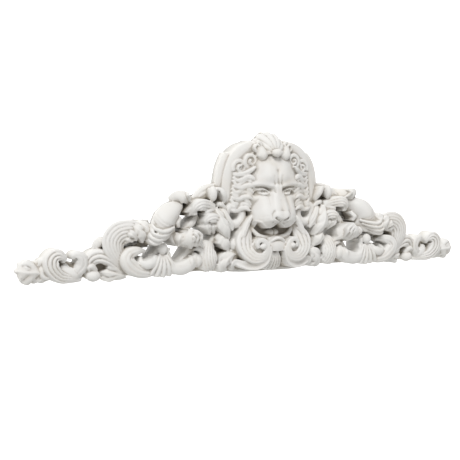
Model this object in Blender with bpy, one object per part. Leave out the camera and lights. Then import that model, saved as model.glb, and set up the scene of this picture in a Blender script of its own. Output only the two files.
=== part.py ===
"""Sculptural wall pediment: one pierced casting with a lion mask, scrolls and acanthus leaves.

The casting hangs flat on a wall. X runs along its length, -Y is the way it faces and +Z is up. The
origin is on the flat back, behind the mask. The carving is laid out on a pattern sheet whose units are
shares of the driving sizes: x outwards from the middle, z up from the foot line, p out from the wall.
"""
import math

import bmesh
import bpy
import numpy as np
from mathutils import Matrix

# Driving sizes in metres
WIDTH = 1.040
HEIGHT = 0.285
RELIEF = 0.095
MOUNT_RISE = 0.120

# The pattern sheet: the half width, the height and the relief in its units, and p at the wall
SHEET_HALF = 520.0
SHEET_HIGH = 285.0
SHEET_DEEP = 95.0
SHEET_WALL = 10.0

# How finely the carving is fused, and how far it runs behind the back before it is cut flat
GRAIN = 0.0025
BEHIND = 6.0
FACE_COUNT = 8700

CAST_COLOUR = (0.68, 0.665, 0.64, 1.0)
CAST_ROUGHNESS = 0.72


def clear_scene():
    for obj in list(bpy.data.objects):
        bpy.data.objects.remove(obj, do_unlink=True)


def to_world(points):
    """Pattern units (x, z, p) to metres (X, Y, Z)."""
    x, z, p = np.asarray(points, float).T
    return np.stack([
        x * WIDTH / 2 / SHEET_HALF,
        (SHEET_WALL - p) * RELIEF / SHEET_DEEP,
        z * HEIGHT / SHEET_HIGH - MOUNT_RISE,
    ], axis=1)


def smooth_path(stations, count):
    """A smooth line through stations (x, z, p, half width), read at even steps of its length."""
    own = np.array(stations, float)
    more = np.vstack([2 * own[0] - own[1], own, 2 * own[-1] - own[-2]])
    t = np.linspace(0, len(own) - 1, 12 * len(own))
    i = np.minimum(t.astype(int), len(own) - 2)
    f = (t - i)[:, None]
    a, b, c, d = more[i], more[i + 1], more[i + 2], more[i + 3]
    line = 0.5 * (2 * b + (c - a) * f + (2 * a - 5 * b + 4 * c - d) * f**2 + (3 * b - a - 3 * c + d) * f**3)
    steps = np.linalg.norm(np.diff(line[:, :3], axis=0), axis=1)
    run = np.concatenate([[0], np.cumsum(steps)])
    even = np.linspace(0, run[-1], count)
    return np.stack([np.interp(even, run, line[:, k]) for k in range(4)], axis=1)


def frames_along(line):
    """Unit vectors across and away from the wall at each point of a line."""
    ahead = np.gradient(line, axis=0)
    ahead /= np.linalg.norm(ahead, axis=1)[:, None] + 1e-9
    across = np.stack([ahead[:, 1], -ahead[:, 0], np.zeros(len(line))], axis=1)
    for k in range(1, len(across)):
        if np.dot(across[k], across[k - 1]) < 0:
            across[k] = -across[k]
    across = np.stack([np.convolve(np.pad(across[:, j], 2, mode="edge"), np.ones(5) / 5, "valid")
                       for j in range(3)], axis=1)
    across /= np.linalg.norm(across, axis=1)[:, None] + 1e-9
    return ahead, across, np.cross(across, ahead)


def ridge(v, count):
    """Round ridges side by side with sharp furrows between them, over v from -1 to 1."""
    return np.abs(np.sin(math.pi * count * (v + 1) / 2)) ** 0.6


def acanthus(lobes=4, cut=0.28, groove=0.30, arch=0.30, slant=0.22, vein=0.10):
    """A leaf: lobes that point forwards along both edges, grooves from each notch towards the vein."""
    def section(u, v):
        side = np.abs(v)
        lobe = np.abs(np.sin(math.pi * lobes * (u + slant * (1 - side)))) ** 0.6
        fade = np.clip(u * 6, 0, 1)
        spread = 1 - cut * (1 - lobe) * fade
        height = -arch * side**2 - groove * side * (1 - lobe) * fade + vein * np.exp(-(v / 0.16) ** 2)
        return height, spread, np.zeros_like(u)
    return section


def fluted(ribs=3, depth=0.30, arch=0.30, tip=0.0):
    """Flutes that run the whole length, with a scalloped end where tip is more than nothing."""
    def section(u, v):
        lobe = ridge(v, ribs)
        height = -arch * v**2 - depth * (1 - lobe) * np.clip(u * 4, 0, 1)
        return height, np.ones_like(u), tip * (lobe - 1 - 0.8 * v**2) * u**3
    return section


def moulded(bead=0.16, cove=0.22, arch=0.10):
    """A scroll band: a bead along each edge and a hollow between them."""
    def section(u, v):
        side = np.abs(v)
        height = bead * np.exp(-((side - 0.80) / 0.16) ** 2) - cove * (1 - side**2) - arch * side**4
        return height, np.ones_like(u), np.zeros_like(u)
    return section


def plain(arch=0.45):
    def section(u, v):
        return -arch * v**2, np.ones_like(u), np.zeros_like(u)
    return section


def cupped(arch=0.4, tip=0.3, rings=2):
    """A smooth shell with a round end and shallow rings beside its rim."""
    def section(u, v):
        reach = u + 0.06 * v**2
        groove = np.zeros_like(u)
        for k in range(rings):
            groove += np.exp(-((reach - 0.93 + 0.075 * k) / 0.018) ** 2)
        return -arch * v**2 - 0.06 * groove, np.ones_like(u), -tip * 1.6 * v**2 * u**4
    return section


def sheet(body, count_along, count_across, front, back):
    """Adds a closed solid: a grid laid on the front surface, grown to the back surface."""
    piece = bmesh.new()
    bmesh.ops.create_grid(piece, x_segments=count_along, y_segments=count_across, size=1.0)
    bmesh.ops.extrude_face_region(piece, geom=piece.faces[:])
    mesh = bpy.data.meshes.new("sheet")
    piece.to_mesh(mesh)
    piece.free()
    flat = np.empty(len(mesh.vertices) * 3)
    mesh.vertices.foreach_get("co", flat)
    flat = flat.reshape(-1, 3)
    half = len(flat) // 2
    u, v = (flat[:, 0] + 1) / 2, flat[:, 1]
    flat[:half] = to_world(back(u[:half], v[:half]))
    flat[half:] = to_world(front(u[half:], v[half:]))
    mesh.vertices.foreach_set("co", flat.ravel())
    body.from_mesh(mesh)
    bpy.data.meshes.remove(mesh)


def footed(under, shift):
    """Points brought behind the wall plane, and towards the middle by shift."""
    under[:, 0] -= np.sign(under[:, 0]) * np.minimum(shift, np.abs(under[:, 0]))
    under[:, 2] = SHEET_WALL - BEHIND
    return under


def ribbon(body, stations, section, along=30, across=14, foot=(-1, 1), lean=0.0):
    """A leaf or band along its stations, with side walls that run down to the wall.

    foot is the part of its width that meets the wall, and lean draws that foot towards the middle.
    """
    line = smooth_path(stations, 96)
    ahead, side, away = frames_along(line[:, :3])
    reach = np.linspace(0, 1, len(line))

    def read(table, u):
        return np.stack([np.interp(u, reach, table[:, k]) for k in range(table.shape[1])], axis=1)

    def surface(u, v):
        height, spread, forward = section(u, v)
        width = read(line, u)[:, 3]
        return (read(line, u)[:, :3] + read(side, u) * (v * width * spread)[:, None]
                + read(away, u) * (height * width)[:, None]
                + read(ahead, u) * (forward * width)[:, None])

    def behind(u, v):
        top = surface(u, v)
        under = surface(u, foot[0] + (foot[1] - foot[0]) * (v + 1) / 2)
        return footed(under, lean * (top[:, 2] - SHEET_WALL))

    sheet(body, along, across, surface, behind)


def shell(body, hub, radii, ribs, from_deg, to_deg, p_hub, p_rim, bulge=0.0, scallop=0.12, depth=3.0,
          hub_share=0.12, along=12, across=40, lean=0.0):
    """A fan of ribs from a hub (x, z) out to radii (across, up), between two angles from +X."""
    def front(u, v):
        rib = ridge(v, ribs)
        angle = np.radians(from_deg + (to_deg - from_deg) * (v + 1) / 2)
        share = hub_share + (1 - hub_share) * u * (1 - scallop * (1 - rib) * u)
        p = p_hub + (p_rim - p_hub) * u**1.5 + bulge * np.sin(math.pi * u)
        p -= depth * (1 - rib) * np.clip(3 * u, 0, 1)
        return np.stack([hub[0] + radii[0] * share * np.cos(angle),
                         hub[1] + radii[1] * share * np.sin(angle), p], axis=1)

    def behind(u, v):
        under = front(u, v)
        return footed(under, lean * (under[:, 2] - SHEET_WALL))

    sheet(body, along, across, front, behind)


def boss(body, x, z, p, across, up=None, out=None):
    """A ball or knob on a stem that runs back to the wall."""
    up = across if up is None else up
    out = across if out is None else out
    metre = np.array([WIDTH / 2 / SHEET_HALF, RELIEF / SHEET_DEEP, HEIGHT / SHEET_HIGH])
    x_m, y_m, z_m = to_world([(x, z, p)])[0]
    size = np.array([across, out, up]) * metre
    place = Matrix.Translation((x_m, y_m, z_m)) @ Matrix.Diagonal((*size, 1.0))
    bmesh.ops.create_uvsphere(body, u_segments=20, v_segments=12, radius=1.0, matrix=place)
    wall = to_world([(x, z, SHEET_WALL - BEHIND)])[0][1]
    stem = (Matrix.Translation((x_m, (y_m + wall) / 2, z_m))
            @ Matrix.Diagonal((size[0] * 0.8, abs(wall - y_m), size[2] * 0.8, 1.0))
            @ Matrix.Rotation(math.pi / 2, 4, "X"))
    bmesh.ops.create_cone(body, cap_ends=True, segments=20, radius1=1.0, radius2=1.0, depth=1.0,
                          matrix=stem)


def curl(x, z, radius, start_deg, turns, p, width, inner=0.25, rise=0.0):
    """Stations of a spiral that winds in round (x, z). Positive turns go anticlockwise."""
    stations = []
    steps = max(5, int(abs(turns) * 10))
    for k in range(steps + 1):
        t = k / steps
        angle = math.radians(start_deg) + 2 * math.pi * turns * t
        r = radius * (1 - (1 - inner) * t)
        stations.append((x + r * math.cos(angle), z + r * math.sin(angle), p + rise * t,
                         width * (1 - (1 - inner) * 0.8 * t)))
    return stations


def end_group(body):
    """The outer end of a wing: a lobed end leaf, its ring, a ribbed scroll and a curled leaf."""
    ribbon(body, [(467, 21, 30, 14.5), (486, 24, 34, 23), (503, 25, 34, 23), (514, 27, 30, 18.5),
                  (519, 27, 23, 12), (519, 27, 15, 7)], acanthus(3, 0.20, 0.30, 0.45), 34, 18)
    ribbon(body, [(491, 31, 34, 10), (503, 37, 34, 11), (511, 37, 28, 8.5)], plain(0.6), 14, 10)
    ribbon(body, [(466, 36, 32, 11), (475, 45, 34, 9), (478, 48, 28, 4.5)], plain(0.5), 14, 10)
    ribbon(body, [(490, 18, 32, 11), (495, 14, 31, 9), (489, 10, 20, 6)], plain(0.5), 14, 10)
    ribbon(body, [(468, 16, 30, 12), (470, 12, 31, 10.5), (462, 8, 20, 8)], plain(0.5), 14, 10)
    ribbon(body, curl(462, 24, 13, 60, -1.15, 36, 6, inner=0.45, rise=3), plain(0.7), 44, 10)
    ribbon(body, [(397, 6, 30, 3.5), (419, 9, 38, 8), (441, 14, 44, 12), (456, 29, 47, 14.5),
                  (458, 44, 47, 16), (451, 53, 46, 14), (441, 53, 45, 11), (434, 46, 42, 7),
                  (435, 39, 36, 3)], fluted(4, 0.32, 0.30), 56, 32)
    ribbon(body, [(432, 36, 30, 7), (426, 24, 36, 10.5), (412, 17, 38, 9), (397, 19, 34, 6)],
           plain(0.4), 24, 10)
    ribbon(body, [(410, 11, 30, 7), (402, 10, 32, 7.5), (394, 6, 22, 5.5)], plain(0.5), 14, 10)
    ribbon(body, [(416, 15, 32, 7), (406, 22, 40, 11), (398, 33, 43, 12), (399, 46, 45, 10.5),
                  (406, 52, 45, 9), (414, 51, 43, 7.5), (417, 45, 38, 4)], fluted(2, 0.16, 0.45), 40, 18)


def curled_leaf_group(body):
    """The ball under an arching leaf, and the small leaves at the foot of the great leaf."""
    boss(body, 376, 12, 34, 14, 11, 11)
    ribbon(body, [(370, 20, 38, 5.5), (380, 30, 44, 6), (386, 28, 43, 4), (384, 21, 38, 2)],
           plain(0.6), 22, 8)
    ribbon(body, [(384, 12, 28, 4), (388, 30, 38, 9), (380, 45, 45, 13), (365, 49, 49, 13.5),
                  (348, 42, 50, 10.5), (331, 28, 47, 7), (313, 11, 42, 3)], fluted(3, 0.30, 0.35), 50, 24)
    ribbon(body, [(380, 29, 36, 3.5), (374, 38, 42, 6), (363, 41, 42, 3.5)], plain(0.6), 16, 8)
    ribbon(body, [(367, 53, 28, 8), (367, 67, 36, 10), (360, 75, 37, 8.5), (349, 69, 32, 3.5)],
           plain(0.4), 20, 10, lean=0.5)
    ribbon(body, [(313, 12, 42, 3.5), (334, 24, 45, 7.5), (348, 34, 44, 8), (356, 34, 37, 3.5)],
           acanthus(2, 0.3, 0.4), 26, 12)
    ribbon(body, [(315, 10, 42, 3.5), (335, 14, 43, 7.5), (351, 17, 40, 6.5), (360, 18, 33, 3)],
           acanthus(2, 0.3, 0.4), 24, 12)
    ribbon(body, [(314, 8, 40, 3.5), (329, 7, 40, 6), (345, 6, 37, 7.5), (355, 9, 30, 5.5)],
           acanthus(2, 0.3, 0.4), 24, 12)
    ribbon(body, [(311, 7, 38, 2.5), (323, 5, 36, 4), (332, 3, 30, 3)], plain(0.5), 14, 8)


def great_leaf(body):
    """The large fluted acanthus that rises from the foot and rolls in over the first opening."""
    ribbon(body, [(296, 13, 42, 3.5), (316, 27, 48, 7), (330, 44, 53, 13), (339, 61, 56, 20.5),
                  (340, 77, 57, 24), (331, 89, 58, 24), (316, 94, 60, 22), (301, 94, 61, 19.5),
                  (288, 90, 60, 14.5), (279, 81, 55, 9)],
           fluted(8, 0.15, 0.30), 70, 64, foot=(-0.9, 0.3), lean=0.35)
    ribbon(body, [(306, 104, 58, 8), (297, 97, 67, 11), (288, 85, 66, 9), (284, 71, 56, 3)],
           acanthus(2, 0.3, 0.4), 26, 14)
    ribbon(body, [(291, 109, 54, 8), (283, 103, 64, 10.5), (276, 92, 64, 8), (272, 80, 54, 2.5)],
           acanthus(2, 0.3, 0.4), 26, 14)
    ribbon(body, curl(271, 96, 17, 60, -1.5, 60, 6.5, inner=0.2, rise=9), fluted(2, 0.25, 0.6), 70, 14)
    boss(body, 271, 96, 50, 17, 16, 8)
    ribbon(body, [(318, 96, 56, 7), (311, 91, 66, 8), (302, 84, 64, 6), (297, 76, 56, 2)],
           plain(0.5), 20, 10)
    ribbon(body, [(322, 82, 56, 3.5), (314, 79, 60, 4.5), (303, 74, 54, 2)], plain(0.5), 16, 10)


def lower_scrolls(body):
    """The two C-scrolls that meet at the bud with its fluted foot."""
    ribbon(body, [(290, 11, 48, 4), (307, 23, 54, 9.5), (313, 37, 57, 12), (309, 49, 59, 9.5),
                  (297, 54, 58, 7), (286, 49, 54, 4.5), (280, 41, 48, 2)], fluted(3, 0.14, 0.40), 44, 20)
    ribbon(body, [(280, 42, 42, 2.5), (277, 34, 51, 8), (269, 33, 57, 12), (257, 39, 57, 11),
                  (247, 48, 50, 6)], plain(0.45), 36, 16)
    ribbon(body, [(310, 17, 44, 3.5), (292, 12, 52, 6.5), (274, 14, 57, 8), (260, 22, 58, 7),
                  (249, 32, 54, 4)], fluted(2, 0.18, 0.40), 34, 14)
    shell(body, (243, 61), (62, 58), 6, 242, 296, 58, 58, bulge=6, scallop=0.10, depth=4, hub_share=0.25,
          along=18, across=44)
    boss(body, 244, 59, 58, 10, 11, 9)
    ribbon(body, [(229, 60, 56, 4), (232, 50, 58, 3.5), (230, 34, 58, 3.5), (224, 20, 58, 3.5),
                  (215, 8, 54, 2.5)], plain(0.5), 28, 10)
    ribbon(body, [(228, 51, 56, 3), (230, 35, 62, 6.5), (222, 23, 66, 10.5), (208, 19, 68, 13),
                  (192, 24, 69, 13), (181, 32, 68, 11), (175, 42, 64, 7.5), (175, 48, 58, 5)],
           plain(0.42), 48, 20)
    boss(body, 170, 32, 56, 11, 13, 11)
    ribbon(body, [(184, 44, 58, 2.5), (185, 37, 69, 4.5), (186, 27, 70, 4.5), (190, 18, 64, 2.5)],
           plain(0.5), 24, 10)
    ribbon(body, [(150, 44, 54, 4), (158, 51, 60, 4.5), (169, 55, 62, 4), (177, 53, 56, 1.5)],
           plain(0.6), 22, 10)


def sheath_group(body):
    """The smooth sheath that arches out from the leaf cluster, and the two shells that it grows from."""
    ribbon(body, [(200, 143, 54, 11.5), (216, 133, 67, 19), (231, 122, 73, 23), (240, 110, 72, 24),
                  (243, 97, 66, 23)], cupped(0.85, 0.30, 2), 54, 34, lean=0.5)
    ribbon(body, [(232, 106, 58, 18), (245, 91, 66, 20.5), (248, 80, 60, 19)],
           cupped(0.40, 0.35, 1), 30, 24, lean=0.3)
    ribbon(body, [(233, 100, 50, 18), (254, 83, 64, 21), (259, 68, 56, 19.5)],
           cupped(0.40, 0.35, 1), 34, 24, lean=0.3)


def leaf_cluster(body):
    """Leaves that burst from beside the frame: the outward leaf, ribbed curls and hanging lobes."""
    ribbon(body, [(112, 174, 42, 8), (130, 169, 47, 12.5), (147, 163, 48, 13.5), (161, 155, 48, 10.5),
                  (173, 148, 48, 8), (180, 145, 46, 5)], plain(0.35), 36, 16, lean=0.6)
    ribbon(body, [(178, 148, 50, 8), (198, 155, 66, 11), (211, 156, 62, 11.5), (219, 151, 50, 9.5),
                  (221, 149, 40, 5.5)], plain(0.55), 30, 14, lean=0.6)
    ribbon(body, [(190, 166, 62, 2), (195, 161, 74, 3), (191, 154, 68, 2.5), (182, 146, 58, 2)],
           plain(0.8), 18, 8)
    boss(body, 137, 162, 62, 8, 15, 11)
    ribbon(body, [(127, 164, 58, 4.5), (125, 169, 66, 5), (119, 167, 70, 5.5), (113, 158, 70, 5.5),
                  (110, 148, 64, 4.5), (111, 142, 58, 2.5)], fluted(3, 0.32, 0.35), 40, 24)
    ribbon(body, [(131, 133, 62, 9), (148, 139, 70, 11), (166, 141, 77, 11.5), (177, 136, 76, 11),
                  (181, 128, 70, 6.5), (179, 121, 62, 2.5)], fluted(4, 0.26, 0.40), 44, 30)
    ribbon(body, [(177, 132, 70, 7), (187, 130, 68, 7), (192, 126, 60, 4.5), (194, 123, 52, 1.5)],
           plain(0.45), 22, 10)
    ribbon(body, [(128, 129, 62, 8), (148, 126, 69, 8.5), (160, 122, 68, 6.5), (168, 120, 60, 3)],
           plain(0.5), 26, 10)
    ribbon(body, [(130, 120, 60, 8), (151, 114, 68, 10), (164, 110, 66, 6.5), (172, 108, 56, 2)],
           plain(0.5), 26, 10)
    ribbon(body, [(135, 109, 60, 9), (153, 101, 69, 12.5), (165, 96, 67, 11), (173, 97, 58, 5)],
           plain(0.5), 28, 12)
    ribbon(body, [(115, 96, 60, 6), (121, 106, 68, 8), (135, 114, 76, 9.5), (148, 114, 78, 9),
                  (155, 109, 75, 7), (154, 101, 68, 3.5)], fluted(3, 0.34, 0.40), 44, 26)
    ribbon(body, [(146, 107, 66, 8), (146, 98, 71, 12), (141, 90, 66, 8.5), (134, 82, 56, 2)],
           plain(0.45), 22, 14)
    ribbon(body, [(133, 103, 66, 8), (130, 96, 68, 6.5), (126, 87, 56, 2)], plain(0.45), 18, 10)
    ribbon(body, [(131, 134, 60, 7), (127, 122, 70, 11), (123, 109, 76, 12.5), (117, 96, 79, 12),
                  (110, 85, 76, 9.5), (102, 73, 66, 2.5)], fluted(2, 0.10, 0.45), 44, 20)
    ribbon(body, [(114, 136, 56, 6.5), (112, 127, 64, 7), (106, 113, 68, 8), (98, 100, 68, 8),
                  (92, 88, 64, 5)], fluted(2, 0.12, 0.45), 36, 18)
    ribbon(body, [(126, 138, 58, 4), (120, 141, 64, 4.5), (111, 137, 62, 4), (103, 129, 58, 2.5)],
           fluted(2, 0.3, 0.5), 26, 14)
    ribbon(body, [(215, 88, 58, 4), (213, 85, 70, 10), (206, 81, 79, 15), (196, 80, 84, 16.5),
                  (184, 78, 82, 16.5), (171, 74, 74, 12.5), (159, 70, 62, 6.5)],
           fluted(5, 0.15, 0.55, 0.35), 50, 40)
    ribbon(body, [(208, 83, 76, 7.5), (214, 75, 77, 7), (211, 62, 62, 1.5)], plain(0.55), 22, 10)
    ribbon(body, [(200, 79, 80, 6), (203, 71, 77, 5.5), (199, 62, 62, 1.5)], plain(0.55), 20, 10)
    ribbon(body, [(190, 74, 80, 10.5), (189, 66, 77, 9), (182, 58, 64, 5)], plain(0.4), 18, 12)
    ribbon(body, [(171, 74, 72, 6.5), (165, 66, 68, 4.5), (157, 60, 58, 1.5)], plain(0.4), 16, 10)
    ribbon(body, [(217, 94, 52, 5), (223, 83, 60, 7), (220, 71, 60, 5), (215, 65, 54, 2)],
           plain(0.4), 22, 10)
    ribbon(body, [(203, 118, 56, 4), (211, 108, 62, 4.5), (208, 98, 58, 3)], plain(0.5), 18, 10)


def foot_leaves(body):
    """The fluted drop and the low leaves along the foot, beside the volute."""
    ribbon(body, [(135, 67, 52, 12.5), (142, 56, 62, 17.5), (145, 39, 68, 19), (141, 22, 66, 18.5),
                  (135, 11, 58, 16)], fluted(6, 0.16, 0.35, 0.25), 34, 46)
    ribbon(body, [(125, 82, 60, 7.5), (119, 75, 70, 13), (111, 63, 72, 11.5), (100, 49, 62, 3.5)],
           acanthus(2, 0.3, 0.3), 26, 14)
    ribbon(body, [(76, 67, 58, 8.5), (87, 61, 66, 10.5), (91, 51, 62, 6)], plain(0.45), 18, 10)
    ribbon(body, [(75, 42, 56, 10), (95, 39, 65, 12.5), (108, 29, 67, 16), (109, 16, 62, 14),
                  (101, 8, 52, 7.5)], acanthus(3, 0.28, 0.35), 34, 18)
    ribbon(body, [(86, 10, 56, 3), (92, 18, 64, 4), (87, 25, 68, 6), (77, 22, 72, 7), (60, 16, 77, 7),
                  (43, 16, 81, 6.5), (28, 24, 85, 6), (21, 39, 87, 5), (20, 55, 87, 4)],
           moulded(0.12, 0.18), 60, 16)
    ribbon(body, [(107, 45, 54, 6), (106, 39, 60, 7), (111, 32, 56, 4.5)], plain(0.5), 14, 8)


def volute(body):
    """The scroll that winds in beside the buckle below the mask."""
    ribbon(body, [(52, 98, 60, 6.5), (62, 83, 68, 14.5), (69, 66, 75, 19.5), (68, 48, 81, 15),
                  (53, 34, 85, 12), (34, 35, 87, 8.5), (25, 48, 88, 6.5), (27, 62, 88, 5),
                  (38, 69, 88, 4.5), (47, 64, 87, 4), (46, 52, 85, 3)], fluted(4, 0.13, 0.14), 90, 40)
    boss(body, 35, 56, 84, 7, 6, 7)
    boss(body, 41, 54, 75, 16, 16, 4)


def frame_side(body):
    """One side of the moulded hood round the head, with the shoulder that stands outside it."""
    ribbon(body, [(104, 134, 46, 8), (102, 154, 50, 10), (100, 180, 51, 10), (95, 206, 52, 11),
                  (83, 231, 53, 12), (64, 249, 54, 12), (42, 258, 55, 10)],
           moulded(0.20, 0.20, 0.30), 50, 18, lean=0.45)
    ribbon(body, [(115, 140, 30, 12), (112, 165, 36, 12), (109, 190, 39, 12), (104, 212, 40, 11),
                  (98, 230, 41, 10), (95, 240, 41, 9)], fluted(2, 0.10, 0.10), 30, 16, lean=0.6)
    ribbon(body, curl(85, 119, 19, 70, -1.02, 60, 8.5, inner=1.0), plain(0.6), 48, 10)


def crown_side(body):
    """A rolled leaf and a small curl on one side of the crown shell."""
    ribbon(body, [(50, 262, 48, 7), (42, 258, 60, 9), (33, 250, 72, 11), (28, 240, 78, 12),
                  (27, 231, 76, 11), (27, 224, 66, 8)], plain(0.6), 30, 14)
    ribbon(body, curl(37, 253, 11, 100, 1.1, 66, 4, inner=0.35, rise=4), plain(0.7), 34, 8)


def mane_side(body):
    """Locks that frame the face: two snails over the brow, then waved strands down to the jaw."""
    for x, z, radius, start, p in ((73, 213, 16, 335, 60), (50, 226, 15, 285, 64)):
        ribbon(body, curl(x, z, radius, start, 1.35, p, 5.2, inner=0.22, rise=5),
               fluted(2, 0.30, 0.6), 64, 14)
        boss(body, x, z, p - 6, radius, radius, 4)
    ribbon(body, [(38, 214, 78, 2), (50, 208, 76, 5), (64, 199, 70, 6), (78, 196, 64, 6),
                  (91, 201, 56, 4)], fluted(2, 0.34, 0.5), 34, 14)
    for k in range(6):
        z = 193 - 10.5 * k
        near = 49 + 1.6 * k
        ribbon(body, [(near, z - 9, 76 - 2 * k, 2), (near + 8, z - 1, 76 - 2 * k, 5.5),
                      (near + 18, z - 1, 71 - k, 6.5), (near + 28, z - 7, 64, 6),
                      (near + 37, z - 5, 58, 4.5), (near + 41, z + 1, 54, 2.5)],
               fluted(2 + k % 2, 0.36, 0.7), 34, 14)
    for k in range(4):
        ribbon(body, [(50 + 3 * k, 118 - 9 * k, 68, 2), (58 + 4 * k, 108 - 9 * k, 73, 4.5),
                      (67 + 4 * k, 95 - 8 * k, 71, 5), (73 + 3 * k, 80 - 6 * k, 64, 3)],
               fluted(2, 0.34, 0.6), 24, 12)


def hump(x, z, cx, cz, rx, rz, power=1.0):
    return np.exp(-(((x - cx) / rx) ** 2 + ((z - cz) / rz) ** 2) ** power)


def crease(x, z, points, width):
    """Nearness, from 0 to 1, to a line of straight runs."""
    best = np.full_like(x, 1e9)
    for (ax, az), (bx, bz) in zip(points, points[1:]):
        length = (bx - ax) ** 2 + (bz - az) ** 2
        t = np.clip(((x - ax) * (bx - ax) + (z - az) * (bz - az)) / length, 0, 1)
        best = np.minimum(best, (x - ax - t * (bx - ax)) ** 2 + (z - az - t * (bz - az)) ** 2)
    return np.exp(-best / width**2)


def smooth_step(t):
    t = np.clip(t, 0, 1)
    return t * t * (3 - 2 * t)


def blend_top(a, b, width):
    """The higher of two surfaces, with a fillet where they meet."""
    gap = np.clip(1 - np.abs(a - b) / width, 0, 1)
    return np.maximum(a, b) + gap**2 * width / 4


def mask_height(x, z):
    """How far the lion's face stands from the wall at each point of the sheet."""
    side = np.abs(x)
    dome = np.clip(1 - (side / 67) ** 2.4 - (np.abs(z - 160) / 92) ** 2.6, 0, 1) ** 0.5
    p = 46 + 33 * dome
    # Forehead, its two swellings and the furrows between the brows
    p += 6 * hump(side, z, 0, 203, 38, 26)
    p += 4.5 * hump(side, z, 18, 208, 14, 19)
    p -= 3.0 * crease(side, z, [(0, 180), (0, 192), (0, 208)], 3.4)
    p -= 2.4 * crease(side, z, [(8, 184), (9, 196)], 2.6)
    # Brows, low and heavy at their inner ends
    p += 8 * crease(side, z, [(9, 178), (20, 181), (35, 180), (53, 173)], 5.5)
    p += 5 * hump(side, z, 10, 177, 8, 6)
    # Sockets, eyeballs, lids and drilled pupils
    p -= 15 * crease(side, z, [(15, 168), (30, 169), (46, 164)], 8.0)
    p -= 9 * hump(side, z, 11, 170, 5, 5)
    ball = np.clip(1 - ((side - 29) / 16) ** 2 - ((z - 165) / 9) ** 2, 0, 1) ** 0.5
    p += 13 * ball
    upper = [(12, 165), (19, 170), (28, 172), (39, 169), (49, 161)]
    lower = [(13, 163), (20, 158.5), (29, 157), (40, 158), (48, 160)]
    p += 5.0 * crease(side, z, upper, 2.0)
    p -= 3.5 * crease(side, z, [(12, 171), (20, 175), (34, 175), (51, 167)], 2.0)
    p += 3.2 * crease(side, z, lower, 1.8)
    p -= 2.5 * crease(side, z, [(16, 155), (29, 152), (43, 154)], 2.2)
    p -= 4.5 * hump(side, z, 27, 165, 2.6, 2.6)
    iris = [(21, 165), (23, 169.5), (27, 171), (31.5, 169.5), (33, 165), (31, 161), (27, 159.5)]
    p -= 2.0 * crease(side, z, iris, 1.1)
    # Cheek bones over a hollow, and the fold beside the muzzle
    p += 7 * hump(side, z, 45, 152, 13, 10)
    p -= 10 * hump(side, z, 48, 134, 15, 10)
    # Nose: a broad bridge, rounded across, that rises to the pad
    share = np.clip((182 - z) / 70, 0, 1)
    half = 13 + 6 * share
    rise = 83 + 18.5 * smooth_step(share) ** 0.85 - 40 * smooth_step((109 - z) / 11)
    nose = rise - 6 * (side / half) ** 3 - 26 * np.clip(side / half - 0.95, 0, 3)
    nose -= 24 * smooth_step((z - 170) / 30)
    # Muzzle pads, swollen below the nose, with a shallow dip between them
    pad = np.clip(1 - (np.abs(side - 22) / 31) ** 2.2 - (np.abs(z - 113) / 30) ** 2.2, 0, 1) ** 0.5
    muzzle = 48 + 48 * pad
    p = blend_top(p, muzzle, 26)
    p = blend_top(p, nose, 22)
    # The broad pad of the nose, nostrils under its wings and the groove to the lip
    p += 3.0 * np.clip(1 - (side / 18) ** 4 - ((z - 118) / 9) ** 2, 0, 1) ** 0.5
    p -= 11 * crease(side, z, [(6, 110), (11, 112), (15, 116)], 2.5)
    p -= 3.5 * crease(side, z, [(17, 105), (21, 112), (21, 121), (16, 128)], 1.8)
    p -= 6 * crease(side, z, [(0, 95), (0, 108)], 1.8)
    # Whisker furrows
    for rise_z in (118, 111, 104):
        p -= 1.1 * crease(side, z, [(28, rise_z), (42, rise_z - 3)], 1.3)
    # Open mouth below the lip, with the tongue and the lower teeth in it
    lip = 101 - 10.5 * smooth_step(side / 18) + 14 * smooth_step((side - 23) / 24)
    p += 3.0 * np.exp(-((z - lip - 2) / 1.8) ** 2) * (side < 50)
    under = smooth_step((lip - z) / 2.0 + 0.5) * smooth_step((54 - side) / 6)
    inside = 50 + 19 * hump(side, z, 0, 82, 16, 8, 1.6) - 4 * crease(side, z, [(0, 76), (0, 88)], 1.6)
    p = p * (1 - under) + under * inside
    # The cheeks fall away into the mane
    return p - 30 * smooth_step((side - 49) / 9) * smooth_step((134 - z) / 14)


def face(body):
    def front(u, v):
        x = v * 66
        z = 66 + u * 176
        return np.stack([x, z, mask_height(x, z)], axis=1)

    def behind(u, v):
        under = front(u, v)
        under[:, 2] = SHEET_WALL - BEHIND
        return under

    sheet(body, 150, 130, front, behind)
    for side in (-1, 1):
        ribbon(body, [(side * 50, 98, 60, 3), (side * 44, 86, 66, 4), (side * 32, 75, 70, 5),
                      (side * 14, 71, 70, 5), (0, 71, 70, 5)], plain(0.6), 24, 8)


def crown(body):
    """The ribbed shell and its knob at the top of the frame."""
    shell(body, (0, 240), (44, 45), 7, -4, 184, 74, 44, bulge=7, scallop=0.10, depth=4, along=18, across=70,
          lean=0.5)
    boss(body, 0, 242, 80, 11, 8, 9)


def buckle(body):
    """The block between the volutes, its bead, and the fluted fan that hangs below it."""
    ribbon(body, [(0, 74, 76, 17), (0, 66, 84, 18), (0, 56, 86, 18), (0, 45, 84, 17)], plain(0.15), 16, 14)
    ribbon(body, [(-19, 60, 82, 3), (-12, 68, 87, 3), (0, 72, 89, 3.5), (12, 68, 87, 3), (19, 60, 82, 3)],
           plain(0.6), 24, 8)
    shell(body, (0, 58), (42, 55), 6, 233, 307, 74, 56, bulge=4, scallop=0.08, depth=4, hub_share=0.3,
          along=16, across=40)


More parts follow.
